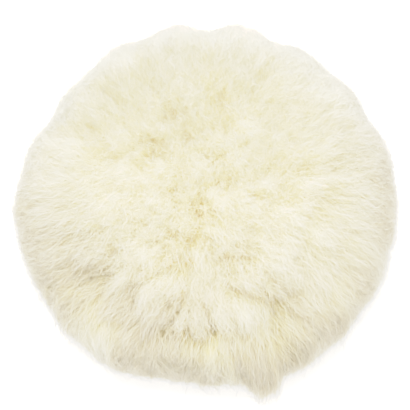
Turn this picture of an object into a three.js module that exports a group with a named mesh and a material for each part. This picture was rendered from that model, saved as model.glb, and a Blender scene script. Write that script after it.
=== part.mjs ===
// A 190 mm (7.5 in) sheepskin polishing pad for a 150 mm hook-and-loop backing plate.
// Millimetres, +Z up. The origin is the centre of the loop face, which the pad lies on, and +Z is the
// spin axis, pointing out of the wool.
//
// From the bottom up the pad is a loop disc, a foam core and a sheepskin drawn over the foam with its
// edge turned in under it as a hem. The wool grows out of the skin, over the face and round the edge.
// A glue film joins the foam to the skin above it and another joins it to the loop disc below it, and two
// rings of lockstitch sew the loop disc to the hem.

import * as THREE from "three";

// Driving dimensions.
const WOOL_DIAMETER = 190;
const WOOL_LENGTH = 25;
const LOOP_DIAMETER = 150;
const LOOP_THICKNESS = 2;
const HIDE_THICKNESS = 1.6;
const FOAM_THICKNESS = 8;
const FILM_THICKNESS = 0.3;
const HIDE_OVERHANG = 3; // of the wrapped skin past the loop disc
const HEM_WIDTH = 18; // of the turned-in edge, from the skin's outside to its cut edge
const EDGE_RADIUS = 4.5; // outside radius of the skin where it wraps the foam
const LOWER_FILM_MARGIN = 2; // from the lower glue film's edge to the hem's cut edge
const UPPER_FILM_MARGIN = 8; // from the upper glue film's edge to the skin's outside
const GLUE_GAP = 0.2; // between pieces that touch

// The wool's outer shape.
const WIDEST_HEIGHT = 14; // height of the widest part of the wool above the loop face
const WOOL_CLEARANCE = 0.6; // from the surface that the pad lies on to the lowest wool
const FOOT_RADIUS = 86; // where the wool's round edge comes down to its lowest

// The two seams, each with a needle thread under the loop disc and a bobbin thread over the hem.
const THREAD_DIAMETER = 0.5;
const GROOVE_WIDTH = 1.6;
const GROOVE_DEPTH = 1.1;
const STITCH_DIP = 0.12; // how far a thread is drawn into the disc at each needle hole
const SEAMS = [
  { name: "outer_seam", radius: 71, stitches: 72 },
  { name: "inner_seam", radius: 64, stitches: 60 },
];

// Fineness of the faceted solids.
const ROUND_SEGMENTS = 60;
const ARC_DIVISIONS = 2; // half the segments of each profile arc
const CURVE_DIVISIONS = 7;
const THREAD_SIDES = 4;

// Levels and radii that follow from the driving dimensions.
const LOOP_RADIUS = LOOP_DIAMETER / 2;
const HIDE_RADIUS = LOOP_RADIUS + HIDE_OVERHANG;
const HEM_RADIUS = HIDE_RADIUS - HEM_WIDTH;
const HEM_BOTTOM = LOOP_THICKNESS + GLUE_GAP;
const HEM_TOP = HEM_BOTTOM + HIDE_THICKNESS;
const FOAM_BOTTOM = HEM_TOP + GLUE_GAP;
const FOAM_TOP = FOAM_BOTTOM + FOAM_THICKNESS;
const UPPER_FILM_BOTTOM = FOAM_TOP + GLUE_GAP;
const HIDE_CEILING = UPPER_FILM_BOTTOM + FILM_THICKNESS + GLUE_GAP;
const HIDE_TOP = HIDE_CEILING + HIDE_THICKNESS;
const FOAM_RADIUS = HIDE_RADIUS - HIDE_THICKNESS - GLUE_GAP;
const INNER_EDGE_RADIUS = EDGE_RADIUS - HIDE_THICKNESS;
const LOWER_FILM_RADIUS = HEM_RADIUS - LOWER_FILM_MARGIN;
const UPPER_FILM_RADIUS = HIDE_RADIUS - UPPER_FILM_MARGIN;

const FABRIC = { roughness: 0.95, metalness: 0 };
const MATERIALS = {
  wool: new THREE.MeshStandardMaterial({ color: 0xf0ebd2, ...FABRIC }),
  hide: new THREE.MeshStandardMaterial({ color: 0xe4d9bf, ...FABRIC }),
  foam: new THREE.MeshStandardMaterial({ color: 0xf3efe2, ...FABRIC }),
  film: new THREE.MeshStandardMaterial({ color: 0xe9dfae, roughness: 0.4, metalness: 0 }),
  loop: new THREE.MeshStandardMaterial({ color: 0xe9e7df, ...FABRIC }),
  thread: new THREE.MeshStandardMaterial({ color: 0xf4f2ea, roughness: 0.7, metalness: 0 }),
};

// A named mesh turned from a profile of radius and height. The profile is drawn from the top of the axis
// down, and LatheGeometry wants it from the bottom up.
function turned(name, material, profile) {
  const geometry = new THREE.LatheGeometry([...profile].reverse(), ROUND_SEGMENTS);
  geometry.rotateX(Math.PI / 2);
  const mesh = new THREE.Mesh(geometry, material);
  mesh.name = name;
  return mesh;
}

// A flat round film of hot-melt glue.
function glueFilm(name, radius, bottom) {
  const top = bottom + FILM_THICKNESS;
  const path = new THREE.Path();
  path.moveTo(0, top);
  path.lineTo(radius, top);
  path.lineTo(radius, bottom);
  path.lineTo(0, bottom);
  return turned(name, MATERIALS.film, path.getPoints());
}

// The loop disc's underside holds a groove for each seam, so that the stitches lie below the loops' tips.
function loopDisc() {
  const edge = 0.5;
  const path = new THREE.Path();
  path.moveTo(0, LOOP_THICKNESS);
  path.lineTo(LOOP_RADIUS, LOOP_THICKNESS);
  path.lineTo(LOOP_RADIUS, edge);
  path.absarc(LOOP_RADIUS - edge, edge, edge, 0, -Math.PI / 2, true);
  for (const { radius } of SEAMS) {
    path.lineTo(radius + GROOVE_WIDTH / 2, 0);
    path.lineTo(radius + GROOVE_WIDTH / 2, GROOVE_DEPTH);
    path.lineTo(radius - GROOVE_WIDTH / 2, GROOVE_DEPTH);
    path.lineTo(radius - GROOVE_WIDTH / 2, 0);
  }
  path.lineTo(0, 0);
  return turned("loop_disc", MATERIALS.loop, path.getPoints(ARC_DIVISIONS));
}

// The skin: a flat face, a rounded side and a hem turned in underneath, open in the middle.
function sheepskinHide() {
  const wall = HIDE_RADIUS - EDGE_RADIUS;
  const high = HIDE_TOP - EDGE_RADIUS;
  const low = HEM_BOTTOM + EDGE_RADIUS;
  const right = 0;
  const up = Math.PI / 2;
  const down = -Math.PI / 2;
  const path = new THREE.Path();
  path.moveTo(0, HIDE_TOP);
  path.lineTo(wall, HIDE_TOP);
  path.absarc(wall, high, EDGE_RADIUS, up, right, true);
  path.absarc(wall, low, EDGE_RADIUS, right, down, true);
  path.lineTo(HEM_RADIUS, HEM_BOTTOM);
  path.lineTo(HEM_RADIUS, HEM_TOP);
  path.lineTo(wall, HEM_TOP);
  path.absarc(wall, low, INNER_EDGE_RADIUS, down, right, false);
  path.absarc(wall, high, INNER_EDGE_RADIUS, right, up, false);
  path.lineTo(0, HIDE_CEILING);
  return turned("sheepskin_hide", MATERIALS.hide, path.getPoints(ARC_DIVISIONS));
}

// The foam fills the skin, bulges down through the hem's opening and is relieved over the bobbin threads.
function foamCore() {
  const round = INNER_EDGE_RADIUS - GLUE_GAP;
  const relief = FOAM_BOTTOM + THREAD_DIAMETER + 2 * GLUE_GAP;
  const plug = HEM_RADIUS - GLUE_GAP;
  const plugBottom = LOOP_THICKNESS + FILM_THICKNESS + 2 * GLUE_GAP;
  const path = new THREE.Path();
  path.moveTo(0, FOAM_TOP);
  path.lineTo(FOAM_RADIUS - round, FOAM_TOP);
  path.absarc(FOAM_RADIUS - round, FOAM_TOP - round, round, Math.PI / 2, 0, true);
  path.lineTo(FOAM_RADIUS, FOAM_BOTTOM + round);
  path.absarc(FOAM_RADIUS - round, FOAM_BOTTOM + round, round, 0, -Math.PI / 2, true);
  for (const { radius } of SEAMS) {
    path.lineTo(radius + GROOVE_WIDTH / 2, FOAM_BOTTOM);
    path.lineTo(radius + GROOVE_WIDTH / 2, relief);
    path.lineTo(radius - GROOVE_WIDTH / 2, relief);
    path.lineTo(radius - GROOVE_WIDTH / 2, FOAM_BOTTOM);
  }
  path.lineTo(plug, FOAM_BOTTOM);
  path.lineTo(plug, plugBottom);
  path.lineTo(0, plugBottom);
  return turned("foam_core", MATERIALS.foam, path.getPoints(ARC_DIVISIONS));
}

// The wool as one soft mass: a low dome that bulges over the edge and hangs down round the skin's side.
function woolPile() {
  const skinSide = HIDE_RADIUS + GLUE_GAP;
  const skinTop = HIDE_TOP + GLUE_GAP;
  const cavityRound = EDGE_RADIUS + GLUE_GAP;
  const rim = WOOL_DIAMETER / 2;
  const crown = skinTop + WOOL_LENGTH;
  const flatReach = 0.66 * rim; // how far the crown stays nearly level
  const shoulder = 0.6 * (crown - WIDEST_HEIGHT); // how far the side stays nearly upright
  const path = new THREE.Path();
  path.moveTo(0, crown);
  path.bezierCurveTo(flatReach, crown, rim, WIDEST_HEIGHT + shoulder, rim, WIDEST_HEIGHT);
  const under = WOOL_CLEARANCE + WIDEST_HEIGHT / 3; // where the round edge turns in
  const foot = (rim + FOOT_RADIUS) / 2;
  path.bezierCurveTo(rim, under, foot, WOOL_CLEARANCE, FOOT_RADIUS, WOOL_CLEARANCE);
  path.lineTo(skinSide, WOOL_CLEARANCE);
  path.lineTo(skinSide, skinTop - cavityRound);
  path.absarc(skinSide - cavityRound, skinTop - cavityRound, cavityRound, 0, Math.PI / 2, false);
  path.lineTo(0, skinTop);
  return turned("wool_pile", MATERIALS.wool, path.getPoints(CURVE_DIVISIONS));
}

// A thread laid round the pad, which is drawn up into the disc by dip at each needle hole.
class SeamPath extends THREE.Curve {
  constructor(radius, height, dip, stitches) {
    super();
    Object.assign(this, { radius, height, dip, stitches });
  }

  getPoint(t, target = new THREE.Vector3()) {
    const angle = 2 * Math.PI * t;
    const draw = this.dip * Math.cos(this.stitches * angle);
    return target.set(this.radius * Math.cos(angle), this.radius * Math.sin(angle), this.height + draw);
  }
}

// A closed ring of thread of square section, swept by hand so that its two ends meet exactly.
function threadRing(name, path, stations) {
  const half = THREAD_DIAMETER / 2;
  const positions = [];
  const indices = [];
  for (let i = 0; i < stations; i += 1) {
    const centre = path.getPoint(i / stations);
    const outward = new THREE.Vector3(centre.x, centre.y, 0).normalize();
    for (let side = 0; side < THREAD_SIDES; side += 1) {
      const turn = (2 * Math.PI * side) / THREAD_SIDES;
      const point = centre.clone().addScaledVector(outward, half * Math.cos(turn));
      positions.push(point.x, point.y, point.z + half * Math.sin(turn));
      const next = (side + 1) % THREAD_SIDES;
      const here = i * THREAD_SIDES;
      const there = ((i + 1) % stations) * THREAD_SIDES;
      indices.push(here + side, there + side, here + next);
      indices.push(here + next, there + side, there + next);
    }
  }
  const geometry = new THREE.BufferGeometry();
  geometry.setAttribute("position", new THREE.Float32BufferAttribute(positions, 3));
  geometry.setIndex(indices);
  geometry.computeVertexNormals();
  const mesh = new THREE.Mesh(geometry, MATERIALS.thread);
  mesh.name = name;
  return mesh;
}

// The stitches show under the loop disc; the bobbin thread lies plain and hidden between hem and foam.
function seamThreads({ name, radius, stitches }) {
  const needleHeight = GROOVE_DEPTH - THREAD_DIAMETER / 2 - GLUE_GAP - STITCH_DIP;
  const bobbinHeight = HEM_TOP + GLUE_GAP + THREAD_DIAMETER / 2;
  const needlePath = new SeamPath(radius, needleHeight, STITCH_DIP, stitches);
  const bobbinPath = new SeamPath(radius, bobbinHeight, 0, stitches);
  return [
    threadRing(`${name}_needle_thread`, needlePath, 2 * stitches),
    threadRing(`${name}_bobbin_thread`, bobbinPath, stitches),
  ];
}

const pad = new THREE.Group();
pad.add(loopDisc());
pad.add(glueFilm("lower_glue_film", LOWER_FILM_RADIUS, LOOP_THICKNESS + GLUE_GAP));
pad.add(foamCore());
pad.add(glueFilm("upper_glue_film", UPPER_FILM_RADIUS, UPPER_FILM_BOTTOM));
pad.add(sheepskinHide());
pad.add(woolPile());
for (const seam of SEAMS) {
  pad.add(...seamThreads(seam));
}

export default pad;
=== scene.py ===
"""A 190 mm lambswool polishing pad for a hook-and-loop plate, lying wool side up on a white floor.

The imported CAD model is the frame. Each soft solid is replaced by a piece built here: the wool is grown
strand by strand from the skin, and the skin, foam, loop fabric and thread are swept from its outlines.
Lengths are in millimetres until a mesh is made from them.
"""

import math

import bpy
import numpy as np
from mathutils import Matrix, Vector


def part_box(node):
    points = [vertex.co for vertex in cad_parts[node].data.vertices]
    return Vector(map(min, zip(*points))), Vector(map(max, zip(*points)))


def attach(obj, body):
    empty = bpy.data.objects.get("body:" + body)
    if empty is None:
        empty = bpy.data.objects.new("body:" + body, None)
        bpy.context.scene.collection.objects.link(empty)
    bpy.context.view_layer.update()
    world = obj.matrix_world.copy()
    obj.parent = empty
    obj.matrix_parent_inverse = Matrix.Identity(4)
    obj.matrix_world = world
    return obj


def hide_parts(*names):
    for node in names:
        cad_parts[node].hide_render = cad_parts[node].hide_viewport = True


MM = 0.001

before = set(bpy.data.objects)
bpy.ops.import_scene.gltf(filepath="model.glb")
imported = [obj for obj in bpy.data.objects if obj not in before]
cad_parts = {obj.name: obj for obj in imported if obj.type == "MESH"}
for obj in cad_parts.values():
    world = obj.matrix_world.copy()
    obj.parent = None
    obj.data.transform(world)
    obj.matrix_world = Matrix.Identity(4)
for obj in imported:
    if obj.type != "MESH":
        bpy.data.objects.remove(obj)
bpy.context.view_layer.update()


def cad_size(node):
    """The outside radius, bottom and top of a round CAD node, in millimetres."""
    low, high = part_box(node)
    return high[1] / MM, low[2] / MM, high[2] / MM


# The skin, foam and loop fabric, from the CAD model.
SKIN_RADIUS, SKIN_BOTTOM, SKIN_TOP = cad_size("sheepskin_hide")
FOAM_RADIUS, PLUG_BOTTOM, FOAM_TOP = cad_size("foam_core")
LOOP_RADIUS, _, LOOP_TOP = cad_size("loop_disc")
SKIN_THICKNESS = 1.6
SKIN_EDGE_RADIUS = 4.5
HEM_RADIUS = 60
GAP = 0.2  # between the layers, which glue fills
SEAM_RADII = {"outer_seam": 71, "inner_seam": 64}
SEAM_STITCHES = {"outer_seam": 72, "inner_seam": 60}
SEAM_WIDTH = 1.6
PLEATS = 84  # in the skin's turned-in hem
PLEAT_DEPTH = 0.14
LOOP_CLOTH_BOTTOM = 0.9  # of the knitted ground that the loops stand on
NAP_COUNT = 32000
NAP_WIDTH = 0.13
NAP_SECTORS = 6
THREAD_RADIUS = 0.25
PLIES = 3
TWIST_PITCH = 3.0
ROUND_SEGMENTS = 360
PROFILE_STEP = 1.3  # between rings of points on the turned pieces

# The wool. A lock is a tuft of wisps, and a wisp is a bundle of strands.
LOCK_COUNT = 940
WISPS_PER_LOCK = 12
STRANDS_PER_WISP = 10
STATIONS = 8  # points along each strand
WOOL_LENGTH = 29
RIM_WOOL_LENGTH = 17.5  # where the wool starts lowest, on the skin's side
RIM_DENSITY = 2.0  # how much closer the locks stand near the rim
LOCK_RADIUS = 5.2  # at its root
WISP_RADIUS = 1.9
STRAND_WIDTH = 0.19
ROOT_LEAN = math.radians(26)  # from straight up, where the wool lies flattest
LYING_LEAN = math.radians(76)  # at the tips, from the wool's combing
HANGING_LEAN = math.radians(72)  # at the tips, from hanging over the rim
LOW_LIFT = math.radians(32)  # of the lowest wool, which the wool above keeps from the floor
LOCK_WAVE = 13  # the length of each wave
STRAND_WAVE = 8
UNDERWOOL_WAVE = 10
WAVE_SIZE = 0.8
STRAY_SHARE = 0.18  # of the strands, which wander out of their wisps
WHORL = (-2, 26)  # the parting that the wool is combed away from
PARTINGS = ((-16, 34), (18, 19), (-4, 15), (-36, 4), (10, -50), (-17, -64))  # small open creases
PARTING_PUSH = 1.3
PARTING_REACH = 5
TUFT_COUNT = 230
TUFT_PULL = 0.26
TIP_CURL = 2.6  # how far each strand's tip strays from its wisp
UNDERWOOL_COUNT = 80000
UNDERWOOL_STATIONS = 6
LOWEST_ROOT = 3.5  # above the loop face
FLOOR_CLEARANCE = 0.7
OUTLINE_RADIUS = 90.5
OUTLINE_GIVE = 0.25  # how much of a strand's reach past it is kept
CROWN_HEIGHT = 41
DOME_FALL = 18  # from the crown to the shoulder
LOBE_COUNT = 17
FIRST_LOBE = math.radians(78.5)
LOBE_SIZE = 0.7  # all round, to which these add more: place and width in degrees, and size
LARGER_LOBES = ((86, 26, 4.2), (35, 22, 1.4), (160, 25, 0.8))
STRAY_PLACE = -73  # degrees round the pad
STRAY_REACH = 8.5
OUTLINE_DIPS = (  # place and width in degrees, and depth. Those less than 0 are bulges.
    (32, 9, 3.2),
    (60, 7, 2.2),
    (75, 6, -2.2),
    (148, 26, 8.0),
    (210, 16, 3.0),
    (240, 7, -1.8),
    (264, 12, 4.2),
    (300, 8, -2.4),
)
WIDEST_HEIGHT = 16  # above the floor, where the outline reaches furthest
SECTORS = 12  # that the wool is cut into, to keep each piece small

WHITE_LEVEL = 1.6  # light that shows as pure white
SHOWN_LIGHT = (  # light, and how bright it shows
    (0.25, 0.36),
    (0.5, 0.59),
    (0.7, 0.72),
    (0.85, 0.79),
    (1.0, 0.835),
    (1.2, 0.886),
    (1.4, 0.928),
    (1.5, 0.965),
)

# The camera and the studio, in metres.
CAMERA_ELEVATION = math.radians(67)
CAMERA_DISTANCE = 0.75
CAMERA_LENS = 135.4
CAMERA_TARGET = (0, -0.0005, 0.008)
KEY_PLACE = (-0.12, 0.45, 1.1)
KEY_WIDTH = 0.9
KEY_POWER = 26
ROOM_LIGHT = 0.83
FLOOR_GLOW = 0.9
FLOOR_REACH = 2 / MM  # each way from the middle, in millimetres
LIGHT_BOUNCES = 40  # light passes through many strands before it comes out of white wool

# Wool colours, linear.
ROOT_COLOUR = (0.998, 0.955, 0.50)
BODY_COLOUR = (0.997, 0.977, 0.84)
TIP_COLOUR = (0.998, 0.99, 0.945)
LOCK_TONE = 0.78  # a strand's lightness, before chance changes it and painted shade at its place darkens it
UNDERWOOL_TONE = 0.68
LOCK_TONE_SPREAD = (0.08, 0.22)  # where the locks aren't gathered, and where they are
WISP_TONE_SPREAD = 0.05
STRAND_TONE_SPREAD = 0.03
# Painted shade: the wool's colour is made darker towards the rim and the front, low on the skin's side,
# in two stretches round the rim and at the outline, to stand for shade there.
RIM_PAINTED_SHADE = 0.34
NEAR_PAINTED_SHADE = 0.44
LOW_PAINTED_SHADE = 0.35
EDGE_PAINTED_SHADE = 0.3
PAINTED_SHADE_STRETCHES = ((208, 42, 0.32), (8, 26, 0.26))  # place and width in degrees, and how much painted shade
WOOL_SIDE = (0.96, 0.92, 0.78)  # of the skin
HEM_SIDE = (0.72, 0.62, 0.46)
FLESH_SIDE = (0.66, 0.55, 0.40)
TONES = 64  # steps of the strands' lightness, which holds both their own random tone and painted shade, each a column of the colour map
# The tint for each step of tone. The darker tints mostly carry painted shade.
TONE_TINTS = ((0.0, (0.88, 0.85, 0.80)), (0.45, (0.99, 0.983, 0.958)), (1.0, (1, 1, 1)))


# ---------------------------------------------------------------------------------------------------
# Shapes

def smooth_field(rng, wavelength, waves=20):
    """A smooth random function of points, whose values lie mostly within 1 of 0."""
    turn = rng.normal(size=(waves, 3))
    turn *= 2 * math.pi / wavelength / np.linalg.norm(turn, axis=1)[:, None]
    turn *= rng.uniform(0.6, 1.5, waves)[:, None]
    phase = rng.uniform(0, 2 * math.pi, waves)
    return lambda points: np.sin(points @ turn.T + phase).sum(-1) * math.sqrt(2 / waves)


def smooth_step(low, high, values):
    """0 at low, 1 at high, and smooth in between."""
    share = np.clip((values - low) / (high - low), 0, 1)
    return share * share * (3 - 2 * share)


def unit(vectors):
    """The vectors at a length of 1."""
    return vectors / np.maximum(np.linalg.norm(vectors, axis=-1, keepdims=True), 1e-9)


def sideways(angle):
    """The level direction round the pad at each angle."""
    return np.stack([-np.sin(angle), np.cos(angle), np.zeros(len(angle))], -1)


def skin_profile(along):
    """(radius, height, tilt) of the skin at a distance along its profile from the top's centre.

    Tilt is its normal's angle from straight up."""
    flat = SKIN_RADIUS - SKIN_EDGE_RADIUS
    tilt = np.clip((along - flat) / SKIN_EDGE_RADIUS, 0, math.pi / 2)
    down = np.maximum(along - flat - SKIN_EDGE_RADIUS * math.pi / 2, 0)
    radius = np.clip(along, 0, flat) + SKIN_EDGE_RADIUS * np.sin(tilt)
    height = SKIN_TOP - SKIN_EDGE_RADIUS * (1 - np.cos(tilt)) - down
    return radius, height, tilt


def skin_points(along, angle):
    """Points on the skin, at distances along its profile and angles round it."""
    radius, height, _ = skin_profile(along)
    return np.stack([radius * np.cos(angle), radius * np.sin(angle), height], -1)


def last_root():
    """How far along the skin's profile the wool reaches."""
    side = SKIN_TOP - SKIN_EDGE_RADIUS - LOWEST_ROOT
    return SKIN_RADIUS - SKIN_EDGE_RADIUS + SKIN_EDGE_RADIUS * math.pi / 2 + side


def beside(along, angle, offset):
    """The skin's points, and their angles, that lie offset (along, round) from the places given."""
    radius = np.maximum(skin_profile(along)[0], 6)
    turned_angle = angle + offset[:, 1] / radius
    return skin_points(np.clip(along + offset[:, 0], 0, last_root() + 1), turned_angle), turned_angle


def low_wool(along):
    """0 for roots on the skin's top, rising to 1 for the lowest roots on its side."""
    return smooth_step(SKIN_RADIUS - SKIN_EDGE_RADIUS + 2, last_root(), along)


def painted_shade(along, angle):
    """How much painted shade darkens the wool: towards the rim and the front, in two stretches, and low
    down.
    """
    front = np.clip(0.5 - 0.7 * np.sin(angle), 0, 1)
    near_rim = smooth_step(40, 76, along)
    stretches = sum(tone_and_painted_shade * around(angle, place, width) for place, width, tone_and_painted_shade in PAINTED_SHADE_STRETCHES)
    nearer = smooth_step(30, -60, along * np.sin(angle))
    rim = RIM_PAINTED_SHADE * near_rim * (0.65 + 0.35 * front) + stretches * smooth_step(30, 68, along)
    near = NEAR_PAINTED_SHADE * nearer * (1 - 0.55 * near_rim)
    return rim + near + LOW_PAINTED_SHADE * low_wool(along)


def lock_roots(rng):
    """(along, angle) of each lock's root, evenly spread over the skin in a loose spiral."""
    ladder = np.linspace(0, last_root(), 400)
    area = np.cumsum(skin_profile(ladder)[0] * (1 + RIM_DENSITY * smooth_step(58, 80, ladder)))
    share = (np.arange(LOCK_COUNT) + 0.5) / LOCK_COUNT
    along = np.interp(share * area[-1], area, ladder)
    angle = np.arange(LOCK_COUNT) * math.pi * (3 - math.sqrt(5))
    along += rng.normal(0, 1.3, LOCK_COUNT)
    angle += rng.normal(0, 1.3, LOCK_COUNT) / np.maximum(along, 6)
    return np.clip(along, 0.5, last_root()), angle


def combed(root, angle, swirl):
    """Which way the wool is combed at each root: away from the whorl, and outward at the rim."""
    outward = np.stack([np.cos(angle), np.sin(angle)], -1)
    away = root[:, :2] - np.array(WHORL) + 7 * np.stack([sway(root) for sway in swirl], -1)
    rim = smooth_step(45, SKIN_RADIUS, np.hypot(root[:, 0], root[:, 1]))[:, None]
    way = unit(unit(away) * (1 - rim) + outward * rim)
    return np.concatenate([way, np.zeros((len(way), 1))], 1), np.linalg.norm(away, axis=1)


def lock_lengths(rng, root, along, hanging):
    """Each lock's length: more at the back, in the front's outer locks and in the stray tuft."""
    lengthy = smooth_field(rng, 34)
    length = WOOL_LENGTH * (1 + 0.05 * lengthy(root) + rng.normal(0, 0.035, len(along)))
    length *= 1 - 0.14 * hanging + 0.1 * smooth_step(20, 60, root[:, 1])
    length *= 1 + 0.26 * gathering(root) * smooth_step(50, 74, along)
    length *= 1 + 0.12 * stray_tuft(np.arctan2(root[:, 1], root[:, 0]))
    return length * (1 - low_wool(along) * (1 - RIM_WOOL_LENGTH / WOOL_LENGTH))


def lock_guides(rng, along, angle):
    """The centre line of each lock, as offsets from its root, and the lock's length."""
    root = skin_points(along, angle)
    outward, from_whorl = combed(root, angle, [smooth_field(rng, 40) for _ in range(2)])
    aside = np.stack([-outward[:, 1], outward[:, 0], np.zeros_like(angle)], -1)
    rise = np.array([0.0, 0.0, 1.0])
    tilt = skin_profile(along)[2]
    frontness = np.clip(0.5 - 0.7 * outward[:, 1], 0, 1)
    lying = np.clip(from_whorl / 80, 0, 1) * (0.42 + 0.58 * frontness)
    calm = 0.35 + 0.65 * gathering(root)  # the wool at the back lies more evenly
    hanging = smooth_step(40, 84, along) * (0.35 + 0.65 * frontness)
    start = np.maximum(0.9 * tilt, ROOT_LEAN * lying)
    end = LYING_LEAN * lying + HANGING_LEAN * hanging - LOW_LIFT * low_wool(along)
    length = lock_lengths(rng, root, along, hanging)

    sway = [smooth_field(rng, 32) for _ in range(2)]
    fine_sway = rng.normal(0, 1, (2, len(along)))
    curl = rng.normal(0, 1, (2, len(along)))
    steps = np.linspace(0, 1, STATIONS)
    points = np.zeros((len(along), STATIONS, 3))
    for k in range(1, STATIONS):
        s = (steps[k] + steps[k - 1]) / 2
        lean = start + (end - start) * s
        lean = lean + calm * (s * (0.2 * sway[0](root) + 0.12 * fine_sway[0]) + 0.3 * s ** 3 * curl[0])
        turn = calm * (s * (0.24 * sway[1](root) + 0.1 * fine_sway[1]) + 0.2 * s ** 3 * curl[1])
        heading = outward * np.sin(lean)[:, None] + rise * np.cos(lean)[:, None]
        heading = unit(heading + aside * np.tan(np.clip(turn, -1.2, 1.2))[:, None])
        points[:, k] = points[:, k - 1] + heading * (length / (STATIONS - 1))[:, None]
    gather_tufts(rng, root, points)
    return points, length


def gather_tufts(rng, root, points):
    """Draws the tips of neighbouring locks together, so that they stand in tufts."""
    tips = root + points[:, -1]
    middle = tips[rng.choice(len(tips), TUFT_COUNT, replace=False)]
    gap = np.linalg.norm(tips[:, None, :] - middle[None, :, :], axis=2)
    pull = TUFT_PULL * (0.15 + 0.85 * gathering(root)[:, None]) * (middle[gap.argmin(1)] - tips)
    steps = np.linspace(0, 1, STATIONS)
    points += pull[:, None, :] * (steps ** 1.6)[None, :, None]


def in_disc(rng, count):
    """Random points in a disc of radius 1."""
    reach = np.sqrt(rng.uniform(0, 1, count))
    angle = rng.uniform(0, 2 * math.pi, count)
    return reach * np.cos(angle), reach * np.sin(angle), reach


def ripple(rng, length, wavelength, size, stations=STATIONS):
    """A sideways wave along each line, which grows from its root."""
    steps = np.linspace(0, 1, stations)
    cycles = length / (wavelength * rng.uniform(0.75, 1.3, len(length)))
    phase = rng.uniform(0, 2 * math.pi, (len(length), 2))
    wave = np.sin(2 * math.pi * cycles[:, None, None] * steps[None, :, None] + phase[:, None, :])
    wave -= np.sin(phase)[:, None, :]
    return size * wave * np.sqrt(steps)[None, :, None]


def keep_off_floor(line):
    """Lifts the strands' lowest parts clear of the floor."""
    low = line[:, :, 2] - FLOOR_CLEARANCE
    line[:, :, 2] = FLOOR_CLEARANCE + np.where(low > 1, low, np.exp(np.minimum(low, 1) - 1))


def around(angle, place, width):
    """1 at a place round the pad, falling to 0 away from it. Both are in degrees."""
    apart = np.mod(np.degrees(angle) - place + 180, 360) - 180
    return np.exp(-((apart / width) ** 2))


def outline(angle, height):
    """How far out the wool reaches: in soft lobes at the back, flatter in a few places, and a tuft."""
    size = LOBE_SIZE
    for place, width, more in LARGER_LOBES:
        size = size + more * around(angle, place, width)
    reach = OUTLINE_RADIUS + size * np.cos(LOBE_COUNT * (angle - FIRST_LOBE))
    for place, width, depth in OUTLINE_DIPS:
        reach = reach - depth * around(angle, place, width)
    rise = height - WIDEST_HEIGHT
    return reach + STRAY_REACH * stray_tuft(angle) - np.where(rise > 0, 0.014, 0.01) * rise ** 2


def stray_tuft(angle):
    """1 across the blunt tuft that sticks out at the front, and 0 away from it."""
    return np.minimum(2.2 * around(angle, STRAY_PLACE, 3.4), 1)


def trim(rng, line):
    """Holds the wool inside the pad's outline and dome: strands that reach them turn along them."""
    angle = np.arctan2(line[:, :, 1], line[:, :, 0])
    radius = np.hypot(line[:, :, 0], line[:, :, 1])
    limit = outline(angle, line[:, :, 2]) + rng.normal(0, 1.6, (len(line), 1))
    held = np.where(radius > limit, limit + OUTLINE_GIVE * (radius - limit), radius)
    line[:, :, :2] *= (held / np.maximum(radius, 1e-6))[:, :, None]
    dome = CROWN_HEIGHT - DOME_FALL * (radius / OUTLINE_RADIUS) ** 5 + rng.normal(0, 1.2, (len(line), 1))
    height = line[:, :, 2]
    line[:, :, 2] = np.where(height > dome, dome + OUTLINE_GIVE * (height - dome), height)


def part(line):
    """Opens a small crease at each parting, by pushing the strands' upper parts away from it."""
    steps = np.linspace(0, 1, line.shape[1])
    for place in PARTINGS:
        away = line[:, -1, :2] - np.array(place)
        gap = np.linalg.norm(away, axis=1)
        push = PARTING_PUSH * np.exp(-(gap / PARTING_REACH) ** 2) / np.maximum(gap, 0.5)
        line[:, :, :2] += (away * push[:, None])[:, None] * (steps ** 1.2)[None, :, None]


def at_edge(line):
    """1 for strands whose tips lie at the pad's outline, and 0 for the rest."""
    return smooth_step(84, 93, np.hypot(line[:, -1, 0], line[:, -1, 1]))


def gathering(root):
    """How much the wool is gathered into locks: not at all at the back, and most at the front rim."""
    side = smooth_step(SKIN_TOP, LOWEST_ROOT, root[:, 2])
    return smooth_step(-8, -72, root[:, 1]) * (1 - 0.55 * side)


def grow_underwool(rng, along, angle, guides, length):
    """Shorter loose strands that fill the space between the locks."""
    count = UNDERWOOL_COUNT
    lock = rng.integers(0, len(along), count)
    steps = np.linspace(0, 1, UNDERWOOL_STATIONS)
    offset = rng.normal(0, 3.6, (2, count)).T
    root, root_angle = beside(along[lock], angle[lock], offset)
    picked = np.linspace(0, STATIONS - 1, UNDERWOOL_STATIONS)
    before = picked.astype(int)
    after = np.minimum(before + 1, STATIONS - 1)
    between = (picked % 1)[None, :, None]
    guide = guides[lock][:, before] * (1 - between) + guides[lock][:, after] * between
    share = rng.uniform(0.7, 1.02, count) * (1 - 0.12 * smooth_step(55, 75, along[lock]))
    line = root[:, None, :] + guide * share[:, None, None]
    astray = unit(rng.normal(size=(count, 1, 3))) * rng.uniform(0.1, 0.5, (count, 1, 1))
    line += astray * (length[lock] * share)[:, None, None] * steps[None, :, None] ** 1.3
    wave = ripple(rng, length[lock], UNDERWOOL_WAVE, 2 * WAVE_SIZE, UNDERWOOL_STATIONS)
    aside = sideways(root_angle)
    across = unit(np.cross(unit(guide[:, -1]), aside))
    line += aside[:, None, :] * wave[:, :, :1] + across[:, None, :] * wave[:, :, 1:]
    part(line)
    trim(rng, line)
    keep_off_floor(line)
    # The underwool's tone, made darker by painted shade at its place and at the outline.
    tone = UNDERWOOL_TONE + rng.normal(0, STRAND_TONE_SPREAD, count) - painted_shade(along, angle)[lock]
    tone -= EDGE_PAINTED_SHADE * at_edge(line)
    return line, lock, np.clip(tone, 0, 1)


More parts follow.
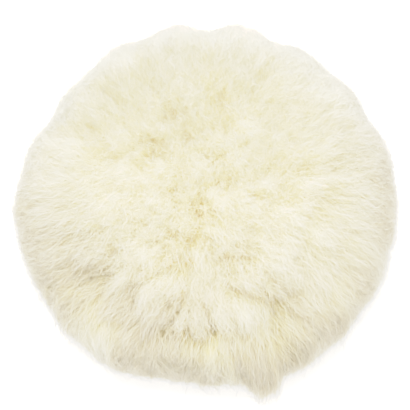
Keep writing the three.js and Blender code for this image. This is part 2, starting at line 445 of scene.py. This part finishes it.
def spread_wisps(rng, length, gathered):
    """Each wisp's lock, its root's offset, its share of the lock's length, its wave and its tone."""
    lock_of_wisp = np.repeat(np.arange(LOCK_COUNT), WISPS_PER_LOCK)
    x, y, reach = in_disc(rng, len(lock_of_wisp))
    offset = (LOCK_RADIUS * (1.35 - 0.35 * gathered))[lock_of_wisp, None] * np.stack([x, y], -1)
    share = 1.05 - 0.28 * reach ** 2 + rng.normal(0, 0.04, len(reach))
    wave = ripple(rng, length[lock_of_wisp], LOCK_WAVE, WAVE_SIZE)
    tone = rng.normal(0, 1, len(reach))
    return lock_of_wisp, offset, share, wave, tone


def strand_widths(gathered, stray):
    """How the locks and wisps narrow along each strand. Stray strands spread out instead."""
    steps = np.linspace(0, 1, STATIONS)
    lock_width = 1 - (0.1 + 0.4 * gathered)[:, None] * steps[None, :] ** 2
    wisp_width = np.where(stray[:, None], 1 + 1.4 * steps, 1 - 0.2 * steps ** 1.2)
    return lock_width[:, :, None], wisp_width[:, :, None]


def strand_tones(rng, along, angle, gathered, lock_tone, line, lock_of):
    """Each strand's tone before its wisp's own: lighter or darker by the lock and chance, and darker by
    painted shade at its place.
    """
    loose, tight = LOCK_TONE_SPREAD
    tone = LOCK_TONE + ((loose + (tight - loose) * gathered) * lock_tone)[lock_of]
    tone += rng.normal(0, STRAND_TONE_SPREAD, len(line))
    # Painted shade: darker by place, in patches where the locks are gathered, and at the outline.
    patches = smooth_field(rng, 24)(skin_points(along, angle))
    tone_and_painted_shade = painted_shade(along, angle) * (1 + 0.45 * gathered * patches)
    tone -= tone_and_painted_shade[lock_of]
    tone -= EDGE_PAINTED_SHADE * at_edge(line) * (1 + 0.5 * (gathered * patches)[lock_of])
    return tone


def grow_wool(rng):
    """The locks' strands and the underwool. Both are (points, lock of each strand, tone from 0 to 1)."""
    along, angle = lock_roots(rng)
    guides, length = lock_guides(rng, along, angle)
    gathered = gathering(skin_points(along, angle))
    lock_of_wisp, wisp_offset, wisp_share, wisp_wave, wisp_tone = spread_wisps(rng, length, gathered)
    lock_tone = rng.normal(0, 1, LOCK_COUNT)

    wisp_of = np.repeat(np.arange(len(lock_of_wisp)), STRANDS_PER_WISP)
    lock_of = lock_of_wisp[wisp_of]
    count = len(wisp_of)
    x, y, _ = in_disc(rng, count)
    offset = WISP_RADIUS * np.stack([x, y], -1)
    stray = rng.uniform(0, 1, count) < STRAY_SHARE
    share = wisp_share[wisp_of] * rng.uniform(0.88, 1.04, count)
    wave = ripple(rng, length[lock_of], STRAND_WAVE, WAVE_SIZE)
    wave[stray] *= 2.2
    wave *= (1.7 - 0.7 * gathered)[lock_of, None, None]
    wave += wisp_wave[wisp_of]

    lock_root = skin_points(along, angle)[lock_of]
    wisp_root, _ = beside(along[lock_of], angle[lock_of], wisp_offset[wisp_of])
    root, root_angle = beside(along[lock_of], angle[lock_of], wisp_offset[wisp_of] + offset)
    lock_width, wisp_width = strand_widths(gathered[lock_of], stray)
    line = guides[lock_of] * share[:, None, None]
    line += lock_root[:, None, :]
    line += (wisp_root - lock_root)[:, None, :] * lock_width
    line += (root - wisp_root)[:, None, :] * wisp_width

    heading = unit(guides[:, -1])[lock_of]
    across = unit(np.cross(heading, sideways(root_angle)))
    aside = unit(np.cross(across, heading))
    line += aside[:, None, :] * wave[:, :, :1] + across[:, None, :] * wave[:, :, 1:]
    curl = (TIP_CURL * (1.5 - 0.9 * gathered))[lock_of, None, None]
    steps = np.linspace(0, 1, STATIONS)
    line += curl * unit(rng.normal(size=(count, 1, 3))) * (steps ** 2.5)[None, :, None]

    part(line)
    trim(rng, line)
    keep_off_floor(line)
    tone = strand_tones(rng, along, angle, gathered, lock_tone, line, lock_of)
    tone += WISP_TONE_SPREAD * wisp_tone[wisp_of]
    under = grow_underwool(rng, along, angle, guides, length)
    return along, angle, (line, lock_of, np.clip(tone, 0, 1)), under


# ---------------------------------------------------------------------------------------------------
# Meshes

def mesh_object(name, points, faces, material, uv=None, corners=3):
    """A smooth-shaded object from points in millimetres. uv has one row for each corner of each face."""
    mesh = bpy.data.meshes.new(name)
    mesh.vertices.add(len(points))
    mesh.vertices.foreach_set("co", (np.asarray(points, np.float32) * MM).ravel())
    loops = np.asarray(faces, np.int32).ravel()
    mesh.loops.add(len(loops))
    mesh.loops.foreach_set("vertex_index", loops)
    count = len(loops) // corners
    mesh.polygons.add(count)
    mesh.polygons.foreach_set("loop_start", np.arange(count, dtype=np.int32) * corners)
    mesh.polygons.foreach_set("loop_total", np.full(count, corners, np.int32))
    mesh.update(calc_edges=True)
    mesh.polygons.foreach_set("use_smooth", np.ones(count, bool))
    if uv is not None:
        layer = mesh.uv_layers.new(name="OFBake")
        layer.data.foreach_set("uv", np.asarray(uv, np.float32).ravel())
    mesh.materials.append(material)
    made = bpy.data.objects.new(name, mesh)
    bpy.context.scene.collection.objects.link(made)
    return made


def strand_mesh(name, line, tone, width, material):
    """Strands along lines of (count, stations, 3), each a narrow twisted strip that ends in a point."""
    count, stations, _ = line.shape
    heading = unit(np.gradient(line, axis=1))
    rng = np.random.default_rng(5)
    other = unit(rng.normal(size=(count, 1, 3)))
    side = unit(np.cross(heading, other))
    up = np.cross(heading, side)
    steps = np.linspace(0, 1, stations)
    twist = rng.uniform(-1.5, 1.5, count)[:, None] * steps[None, :]
    side = side * np.cos(twist)[:, :, None] + up * np.sin(twist)[:, :, None]
    half = 0.5 * width[:, None] * (1 - 0.5 * steps ** 1.5)[None, :]
    reach = side * half[:, :, None]
    edges = np.stack([line - reach, line + reach], 2)[:, :-1].reshape(count, -1, 3)
    points = np.concatenate([edges, line[:, -1:]], 1)
    per_strand = points.shape[1]

    faces = []
    for a in range(0, per_strand - 3, 2):
        faces += [(a, a + 1, a + 2), (a + 1, a + 3, a + 2)]
    faces.append((per_strand - 3, per_strand - 2, per_strand - 1))
    faces = np.array(faces)[None] + (np.arange(count) * per_strand)[:, None, None]

    column = np.minimum((tone * TONES).astype(int), TONES - 1)
    across = np.append(np.tile([0.25, 0.75], stations - 1), 0.5)
    uv = np.empty((count, per_strand, 2))
    uv[:, :, 0] = (column[:, None] + across[None, :]) / TONES
    uv[:, :, 1] = 0.02 + 0.96 * np.append(np.repeat(steps[:-1], 2), 1.0)[None, :]
    faces = faces.reshape(-1, 3)
    return mesh_object(name, points.reshape(-1, 3), faces, material, uv.reshape(-1, 2)[faces])


def arc(centre, radius, start, end):
    """Points round part of a circle of (radius, height), between two angles in degrees."""
    turn = np.radians(np.linspace(start, end, 10))
    return [(centre[0] + radius * math.cos(a), centre[1] + radius * math.sin(a)) for a in turn]


def divided(profile, step):
    """The profile with points added, so that neighbours are no more than step apart."""
    made = [profile[0]]
    for here, there in zip(profile, profile[1:]):
        gap = math.dist(here, there)
        if gap < 1e-6:
            continue
        parts = math.ceil(gap / step)
        for k in range(1, parts + 1):
            made.append(tuple(a + (b - a) * k / parts for a, b in zip(here, there)))
    return np.array(made)


def wall_faces(count, along):
    """The faces between count rings of points, and the place of their corners on the map."""
    ring, step = np.meshgrid(np.arange(count - 1), np.arange(ROUND_SEGMENTS), indexing="ij")
    ring, step = ring.ravel(), step.ravel()
    after = (step + 1) % ROUND_SEGMENTS
    corners = [(ring, step, 0), (ring + 1, step, 0), (ring + 1, after, 1), (ring, after, 1)]
    index = [row * ROUND_SEGMENTS + column for row, column, _ in corners]
    place = [np.stack([(step + late) / ROUND_SEGMENTS, along[1 + row]], -1) for row, _, late in corners]
    halves = ((0, 1, 2), (0, 2, 3))
    faces = [np.stack([index[k] for k in half], 1) for half in halves]
    uv = [np.stack([place[k] for k in half], 1) for half in halves]
    return faces, uv


def cap_faces(count, along):
    """The faces round each pole, whose points follow the rings', and their corners on the map."""
    step = np.arange(ROUND_SEGMENTS)
    after = (step + 1) % ROUND_SEGMENTS
    last = (count - 1) * ROUND_SEGMENTS
    faces, uv = [], []
    for pole, first, second, row in ((0, step, after, 0), (1, after, step, last)):
        tip = np.full(ROUND_SEGMENTS, count * ROUND_SEGMENTS + pole)
        faces.append(np.stack([tip, row + first, row + second], 1))
        side, end = (along[1], along[0]) if pole == 0 else (along[-2], along[-1])
        left = np.stack([step / ROUND_SEGMENTS, np.full(len(step), side)], -1)
        right = left + np.array([1 / ROUND_SEGMENTS, 0])
        middle = np.stack([(step + 0.5) / ROUND_SEGMENTS, np.full(len(step), end)], -1)
        pair = (left, right) if pole == 0 else (right, left)
        uv.append(np.stack([middle, *pair], 1))
    return faces, uv


def turned(name, profile, material, shift):
    """A closed solid turned from a profile of (radius, height) that starts and ends on the axis.

    shift(points, angle) gives how far each point moves out and up from its place."""
    reach = np.append(0, np.cumsum(np.linalg.norm(np.diff(profile, axis=0), axis=1)))
    along = reach / reach[-1]
    rings = profile[1:-1]
    angle = np.arange(ROUND_SEGMENTS) * 2 * math.pi / ROUND_SEGMENTS
    cos, sin = np.cos(angle), np.sin(angle)
    height = np.repeat(rings[:, 1:], ROUND_SEGMENTS, 1)
    points = np.stack([rings[:, :1] * cos, rings[:, :1] * sin, height], -1)
    out, up = shift(points, angle[None, :])
    points += np.stack([out * cos, out * sin, up], -1)
    poles = [(0, 0, profile[0, 1]), (0, 0, profile[-1, 1])]
    points = np.concatenate([points.reshape(-1, 3), poles])
    walls, wall_uv = wall_faces(len(rings), along)
    caps, cap_uv = cap_faces(len(rings), along)
    uv = np.concatenate(wall_uv + cap_uv).reshape(-1, 2)
    return mesh_object(name, points, np.concatenate(walls + caps), material, uv)


def ply_ring(name, radius, height, material):
    """A ring of sewing thread, of plies twisted together. height(angle) is its centre's height."""
    stations = round(2 * math.pi * radius / (TWIST_PITCH / 6))
    twists = round(2 * math.pi * radius / TWIST_PITCH)
    sides = 5
    angle = np.arange(stations) * 2 * math.pi / stations
    outward = np.stack([np.cos(angle), np.sin(angle), np.zeros(stations)], -1)
    up = np.array([0.0, 0.0, 1.0])
    centre = outward * radius
    centre[:, 2] = height(angle)
    points, faces, uv = [], [], []
    station, side = [a.ravel() for a in np.meshgrid(np.arange(stations), np.arange(sides), indexing="ij")]
    for ply in range(PLIES):
        turn = (twists * angle + ply * 2 * math.pi / PLIES)[:, None]
        line = centre + 0.52 * THREAD_RADIUS * (outward * np.cos(turn) + up * np.sin(turn))
        round_ply = np.arange(sides) * 2 * math.pi / sides
        reach = outward[:, None] * np.cos(round_ply)[:, None] + up * np.sin(round_ply)[:, None]
        points.append((line[:, None] + 0.5 * THREAD_RADIUS * reach).reshape(-1, 3))
        start = ply * stations * sides
        corners = []
        for ahead, along in ((0, 0), (1, 0), (1, 1), (0, 1)):
            index = start + (station + ahead) % stations * sides + (side + along) % sides
            across = (ply * sides + side + along) / (PLIES * sides)
            corners.append((index, np.stack([across, (station + ahead) / stations], -1)))
        for trio in ((0, 1, 2), (0, 2, 3)):
            faces.append(np.stack([corners[k][0] for k in trio], 1))
            uv.append(np.stack([corners[k][1] for k in trio], 1))
    points, faces = np.concatenate(points), np.concatenate(faces)
    return mesh_object(name, points, faces, material, np.concatenate(uv).reshape(-1, 2))


# ---------------------------------------------------------------------------------------------------
# Materials

class Shader:
    """A material's node tree, with short ways to add and link nodes."""

    def __init__(self, name):
        """An empty node material."""
        self.material = bpy.data.materials.new(name)
        self.material.use_nodes = True
        self.tree = self.material.node_tree
        self.tree.nodes.clear()

    def node(self, kind, **inputs):
        """A new node, with its properties set and its inputs fed by name."""
        made = self.tree.nodes.new("ShaderNode" + kind)
        for key, value in inputs.items():
            if hasattr(made, key) and key not in made.inputs:
                setattr(made, key, value)
            else:
                self.feed(made.inputs[key], value)
        return made

    def feed(self, socket, value):
        """Links another node's output to the socket, or sets its value."""
        if isinstance(value, bpy.types.NodeSocket):
            self.tree.links.new(value, socket)
        else:
            socket.default_value = value

    def mix(self, share, first, second):
        """A shader with that share of the second one."""
        made = self.node("MixShader", Fac=share)
        self.feed(made.inputs[1], first.outputs[0])
        self.feed(made.inputs[2], second.outputs[0])
        return made

    def finish(self, surface):
        """Makes that shader the material's surface."""
        out = self.node("OutputMaterial")
        self.feed(out.inputs["Surface"], surface.outputs[0])


def ramp(shader, value, stops):
    """A colour ramp over value, from (place, colour) stops."""
    made = shader.node("ValToRGB")
    elements = made.color_ramp.elements
    while len(elements) < len(stops):
        elements.new(0.5)
    for element, (place, colour) in zip(elements, stops):
        element.position = place
        element.color = (*colour, 1)
    shader.feed(made.inputs["Fac"], value)
    return made.outputs["Color"]


def wool_material():
    """Wool that is yellower at its roots, lighter at its tips, and lets some light through."""
    shader = Shader("lambswool")
    uv = shader.node("UVMap", uv_map="OFBake")
    split = shader.node("SeparateXYZ", Vector=uv.outputs["UV"])
    colour = ramp(
        shader,
        split.outputs["Y"],
        [(0.15, ROOT_COLOUR), (0.6, BODY_COLOUR), (1.0, TIP_COLOUR)],
    )
    step = shader.node("Math", operation="FLOOR")
    scaled = shader.node("Math", operation="MULTIPLY")
    shader.feed(scaled.inputs[0], split.outputs["X"])
    scaled.inputs[1].default_value = TONES
    shader.feed(step.inputs[0], scaled.outputs[0])
    share = shader.node("Math", operation="DIVIDE")
    shader.feed(share.inputs[0], step.outputs[0])
    share.inputs[1].default_value = TONES
    # The tint for each strand's tone, which carries painted shade as well as random tone.
    tone_and_painted_shade = ramp(shader, share.outputs[0], TONE_TINTS)
    tinted = shader.node("MixRGB", blend_type="MULTIPLY", Fac=1.0, Color1=colour, Color2=tone_and_painted_shade)
    tint = tinted.outputs["Color"]
    principled = shader.node("BsdfPrincipled", Roughness=0.7)
    shader.feed(principled.inputs["Base Color"], tint)
    principled.inputs["Specular IOR Level"].default_value = 0.25
    principled.inputs["Sheen Weight"].default_value = 0.2
    diffuse = shader.node("BsdfDiffuse", Color=tint)
    through = shader.node("BsdfTranslucent", Color=tint)
    soft = shader.mix(0.6, diffuse, through)
    shader.finish(shader.mix(0.85, principled, soft))
    return shader.material


def grained_material(name, colours, scale, roughness, texture="TexNoise", output="Fac", bump=0.2):
    """A material that varies between two colours as a texture does. scale is in grains to the metre."""
    shader = Shader(name)
    place = shader.node("TexCoord").outputs["Object"]
    grain = shader.node(texture, Vector=place, Scale=scale).outputs[output]
    patches = shader.node("TexNoise", Vector=place, Scale=scale / 12).outputs["Fac"]
    both = shader.node("Math", operation="MULTIPLY")
    shader.feed(both.inputs[0], grain)
    shader.feed(both.inputs[1], patches)
    colour = ramp(shader, both.outputs[0], [(0.1, colours[0]), (0.45, colours[1])])
    relief = shader.node("Bump", Strength=bump, Distance=0.0002, Height=grain)
    principled = shader.node("BsdfPrincipled", Roughness=roughness, Normal=relief.outputs["Normal"])
    shader.feed(principled.inputs["Base Color"], colour)
    principled.inputs["Sheen Weight"].default_value = 0.1
    shader.finish(principled)
    return shader.material


def hide_material():
    """Sheepskin: creamy where the wool grows from it, and tan suede on its flesh side."""
    shader = Shader("sheepskin")
    uv = shader.node("UVMap", uv_map="OFBake")
    along = shader.node("SeparateXYZ", Vector=uv.outputs["UV"]).outputs["Y"]
    sides = ((0.0, WOOL_SIDE), (0.44, WOOL_SIDE), (0.47, HEM_SIDE), (0.52, FLESH_SIDE))
    side = ramp(shader, along, sides)
    place = shader.node("TexCoord").outputs["Object"]
    grain = shader.node("TexNoise", Vector=place, Scale=900.0, Detail=4.0).outputs["Fac"]
    shade = ramp(shader, grain, [(0.3, (0.88, 0.86, 0.82)), (0.65, (1, 1, 1))])
    tinted = shader.node("MixRGB", blend_type="MULTIPLY", Fac=1.0, Color1=side, Color2=shade)
    relief = shader.node("Bump", Strength=0.3, Distance=0.0002, Height=grain)
    principled = shader.node("BsdfPrincipled", Roughness=0.85, Normal=relief.outputs["Normal"])
    shader.feed(principled.inputs["Base Color"], tinted.outputs["Color"])
    principled.inputs["Sheen Weight"].default_value = 0.15
    shader.finish(principled)
    return shader.material


def lit_floor():
    """White that glows a little, like a light table."""
    shader = Shader("floor_white")
    principled = shader.node("BsdfPrincipled", Roughness=0.9)
    principled.inputs["Base Color"].default_value = (0.9, 0.9, 0.9, 1)
    principled.inputs["Emission Color"].default_value = (1, 1, 1, 1)
    principled.inputs["Emission Strength"].default_value = FLOOR_GLOW
    shader.finish(principled)
    return shader.material


# ---------------------------------------------------------------------------------------------------
# Pieces

def build_wool():
    """The strands, in pieces: a crown and a rim piece for each sector of the pad."""
    rng = np.random.default_rng(11)
    along, angle, locks, under = grow_wool(rng)
    sector = sector_of(angle, SECTORS)
    crown = along < np.median(along)
    material = wool_material()
    under_width, lock_width = [
        STRAND_WIDTH * rng.uniform(0.75, 1.2, len(line)) for line, _, _ in (under, locks)
    ]
    kinds = (("wool", locks, lock_width), ("underwool", under, under_width))
    made = []
    for belt, wanted in (("crown", crown), ("rim", ~crown)):
        for number in range(SECTORS):
            for kind, (line, lock_of, tone), width in kinds:
                mine = ((sector == number) & wanted)[lock_of]
                name = f"{kind}_{belt}_{number + 1:02d}"
                piece = strand_mesh(name, line[mine], tone[mine], width[mine], material)
                made.append(belongs(piece, "wool", "wool_pile"))
    return made


def sector_of(angle, count):
    """Which of count equal sectors of a circle each angle is in."""
    return (np.mod(angle, 2 * math.pi) / (2 * math.pi) * count).astype(int) % count


def belongs(piece, slot, *nodes):
    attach(piece, "root")
    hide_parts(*nodes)
    return piece


def build_hide():
    """The skin over the foam, whose turned-in edge is gathered into small pleats."""
    wall = SKIN_RADIUS - SKIN_EDGE_RADIUS
    high, low = SKIN_TOP - SKIN_EDGE_RADIUS, SKIN_BOTTOM + SKIN_EDGE_RADIUS
    inner = SKIN_EDGE_RADIUS - SKIN_THICKNESS
    profile = [(0, SKIN_TOP)]
    profile += arc((wall, high), SKIN_EDGE_RADIUS, 90, 0) + arc((wall, low), SKIN_EDGE_RADIUS, 0, -90)
    profile += [(HEM_RADIUS, SKIN_BOTTOM), (HEM_RADIUS, SKIN_BOTTOM + SKIN_THICKNESS)]
    profile += arc((wall, low), inner, -90, 0) + arc((wall, high), inner, 0, 90)
    profile += [(0, SKIN_TOP - SKIN_THICKNESS)]
    rng = np.random.default_rng(23)
    wander = smooth_field(rng, 30)
    grain = smooth_field(rng, 3)

    def shift(points, angle):
        """Small pleats in the hem, an uneven opening and a fine grain elsewhere."""
        radius = np.hypot(points[..., 0], points[..., 1])
        in_hem = (points[..., 2] < low) * (1 - smooth_step(wall, SKIN_RADIUS, radius))
        pleat = np.cos(PLEATS * angle + 1.2 * wander(points)) * PLEAT_DEPTH
        out = 0.5 * wander(points) * (radius < HEM_RADIUS + 0.1) * (points[..., 2] < low)
        return out, in_hem * pleat + 0.03 * grain(points) * (1 - in_hem)

    hide = turned("sheepskin", divided(profile, PROFILE_STEP), hide_material(), shift)
    return belongs(hide, "hide", "sheepskin_hide")


def build_foam():
    """The foam disc, with a plug that fills the hem's opening and grooves over the bobbin threads."""
    corner = SKIN_EDGE_RADIUS - SKIN_THICKNESS - GAP
    bottom = SKIN_BOTTOM + SKIN_THICKNESS + GAP
    relief = bottom + 2 * THREAD_RADIUS + 2 * GAP
    plug = HEM_RADIUS - GAP - 0.6
    profile = [(0, FOAM_TOP)]
    profile += arc((FOAM_RADIUS - corner, FOAM_TOP - corner), corner, 90, 0)
    profile += arc((FOAM_RADIUS - corner, bottom + corner), corner, 0, -90)
    for radius in SEAM_RADII.values():
        outer, inner = radius + SEAM_WIDTH / 2, radius - SEAM_WIDTH / 2
        profile += [(outer, bottom), (outer, relief), (inner, relief), (inner, bottom)]
    profile += [(plug, bottom), (plug, PLUG_BOTTOM), (0, PLUG_BOTTOM)]
    rng = np.random.default_rng(31)
    pits = smooth_field(rng, 2.5)
    bulge = smooth_field(rng, 40)

    def shift(points, angle):
        """Open cells, and a slight bulge."""
        return 0.06 * pits(points) - 0.06, 0.03 * pits(points) + 0.04 * bulge(points)

    material = grained_material(
        "foam", ((0.62, 0.58, 0.46), (0.86, 0.83, 0.72)), 1100.0, 0.9, "TexVoronoi", "Distance", 0.5
    )
    foam = turned("foam_disc", divided(profile, PROFILE_STEP), material, shift)
    return belongs(foam, "foam", "foam_core")


def build_loop_cloth():
    """The knitted ground of the loop disc, pressed in along the two seams."""
    low = LOOP_CLOTH_BOTTOM
    profile = [(0, LOOP_TOP), (LOOP_RADIUS - 0.2, LOOP_TOP), (LOOP_RADIUS, LOOP_TOP - 0.2)]
    profile += [(LOOP_RADIUS, low + 0.2), (LOOP_RADIUS - 0.2, low)]
    for radius in SEAM_RADII.values():
        profile += [(radius + 0.8, low), (radius + 0.4, low + 0.25)]
        profile += [(radius - 0.4, low + 0.25), (radius - 0.8, low)]
    profile += [(0, low)]
    knit = smooth_field(np.random.default_rng(41), 4)

    def shift(points, angle):
        """The knit's own unevenness."""
        return np.zeros(points.shape[:2]), 0.03 * knit(points)

    material = grained_material(
        "loop_knit", ((0.60, 0.58, 0.53), (0.84, 0.83, 0.79)), 1500.0, 0.9, "TexVoronoi", "Distance", 0.4
    )
    cloth = turned("loop_cloth", divided(profile, PROFILE_STEP), material, shift)
    return belongs(cloth, "loop_fabric", "loop_disc")


def nap_material():
    """Nylon loops, each a little lighter or darker than the next."""
    shader = Shader("nylon_loops")
    uv = shader.node("UVMap", uv_map="OFBake")
    split = shader.node("SeparateXYZ", Vector=uv.outputs["UV"])
    colour = ramp(shader, split.outputs["X"], [(0.0, (0.66, 0.64, 0.59)), (1.0, (0.9, 0.89, 0.85))])
    principled = shader.node("BsdfPrincipled", Roughness=0.5)
    shader.feed(principled.inputs["Base Color"], colour)
    principled.inputs["Sheen Weight"].default_value = 0.1
    shader.finish(principled)
    return shader.material


def build_nap():
    """The loops under the loop disc, which a backing plate's hooks catch. They keep off the seams."""
    rng = np.random.default_rng(43)
    x, y, reach = in_disc(rng, NAP_COUNT)
    radius = reach * (LOOP_RADIUS - 0.5)
    clear = np.ones(NAP_COUNT, bool)
    for seam in SEAM_RADII.values():
        clear &= abs(radius - seam) > SEAM_WIDTH / 2
    foot = (np.stack([x, y], -1) * (LOOP_RADIUS - 0.5))[clear]
    count = len(foot)
    turn = rng.uniform(0, 2 * math.pi, count)
    way = np.stack([np.cos(turn), np.sin(turn)], -1)
    lean = rng.normal(0, 0.3, (count, 2))
    span = rng.uniform(0.5, 0.9, count)
    drop = rng.uniform(0.6, 0.8, count)
    steps = np.linspace(0, 1, 6)
    hang = np.sin(math.pi * steps)
    line = np.zeros((count, len(steps), 3))
    line[:, :, :2] = foot[:, None] + way[:, None] * (span[:, None] * (steps - 0.5))[:, :, None]
    line[:, :, :2] += lean[:, None] * hang[None, :, None]
    line[:, :, 2] = LOOP_CLOTH_BOTTOM + 0.05 - drop[:, None] * hang
    material = nap_material()
    width = rng.uniform(0.8, 1.2, count) * NAP_WIDTH
    tone = rng.uniform(0, 1, count)
    sector = sector_of(np.arctan2(foot[:, 1], foot[:, 0]), NAP_SECTORS)
    made = []
    for number in range(NAP_SECTORS):
        mine = sector == number
        nap = strand_mesh(f"loop_nap_{number + 1}", line[mine], tone[mine], width[mine], material)
        made.append(belongs(nap, "loop_fabric", "loop_disc"))
    return made


def build_threads():
    """The two lockstitched seams: needle thread under the loop disc, bobbin thread over the hem."""
    material = grained_material("sewing_thread", ((0.70, 0.68, 0.62), (0.90, 0.89, 0.84)), 4000.0, 0.7)
    bobbin_level = SKIN_BOTTOM + SKIN_THICKNESS + GAP + THREAD_RADIUS
    for seam, radius in SEAM_RADII.items():
        stitches = SEAM_STITCHES[seam]

        def needle_height(angle):
            """Up into a hole at each stitch, and flat between them."""
            hole = 0.5 + 0.5 * np.cos(stitches * angle)
            return LOOP_CLOTH_BOTTOM - 0.1 + 0.5 * hole ** 12

        def bobbin_height(angle):
            """Level, as it lies on the hem."""
            return np.full(len(angle), bobbin_level)

        for kind, height in (("needle_thread", needle_height), ("bobbin_thread", bobbin_height)):
            ring = ply_ring(f"{seam}_{kind}_plies", radius, height, material)
            belongs(ring, "thread", f"{seam}_{kind}")


def finish_films():
    """The glue films keep their CAD shape and get a milky hot-melt material."""
    material = grained_material("hot_melt_glue", ((0.72, 0.66, 0.44), (0.86, 0.82, 0.64)), 250.0, 0.35)
    for node in ("lower_glue_film", "upper_glue_film"):
        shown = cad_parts[node]
        shown.data.materials.clear()
        shown.data.materials.append(material)


def build_camera():
    """Looks down at the pad from the front."""
    back = Vector((0, -math.cos(CAMERA_ELEVATION), math.sin(CAMERA_ELEVATION)))
    data = bpy.data.cameras.new("camera")
    data.lens = CAMERA_LENS
    made = bpy.data.objects.new("camera", data)
    bpy.context.scene.collection.objects.link(made)
    made.location = Vector(CAMERA_TARGET) + back * CAMERA_DISTANCE
    made.rotation_mode = "QUATERNION"
    made.rotation_quaternion = (-back).to_track_quat("-Z", "Y")
    bpy.context.scene.camera = made


def soften_highlights(view):
    """A camera's shoulder: bright wool is held just short of white."""
    view.use_curve_mapping = True
    mapping = view.curve_mapping
    mapping.white_level = (WHITE_LEVEL,) * 3
    curve = mapping.curves[3]
    for light, shown in SHOWN_LIGHT:
        curve.points.new(light / WHITE_LEVEL, shown)
    mapping.update()


def build_studio():
    """A white floor, an even white room and a wide soft light above and behind the pad."""
    floor = mesh_object(
        "floor",
        np.array([(-1, -1, 0), (1, -1, 0), (1, 1, 0), (-1, 1, 0)]) * FLOOR_REACH,
        np.array([(0, 1, 2, 3)]),
        lit_floor(),
        corners=4,
    )
    data = bpy.data.lights.new("key", "AREA")
    data.shape = "DISK"
    data.size = KEY_WIDTH
    data.energy = KEY_POWER
    light = bpy.data.objects.new("key", data)
    bpy.context.scene.collection.objects.link(light)
    light.location = KEY_PLACE
    light.rotation_mode = "QUATERNION"
    light.rotation_quaternion = (-light.location).to_track_quat("-Z", "Y")
    world = bpy.data.worlds.new("studio")
    bpy.context.scene.world = world
    world.use_nodes = True
    background = world.node_tree.nodes["Background"]
    background.inputs["Color"].default_value = (1, 1, 1, 1)
    background.inputs["Strength"].default_value = ROOM_LIGHT
    bpy.context.scene.view_settings.view_transform = "Standard"
    soften_highlights(bpy.context.scene.view_settings)
    cycles = bpy.context.scene.cycles
    cycles.max_bounces = LIGHT_BOUNCES
    cycles.diffuse_bounces = LIGHT_BOUNCES
    cycles.transmission_bounces = LIGHT_BOUNCES


wool = build_wool()
hide = build_hide()
foam = build_foam()
cloth = build_loop_cloth()
nap = build_nap()
build_threads()
finish_films()
build_studio()
build_camera()
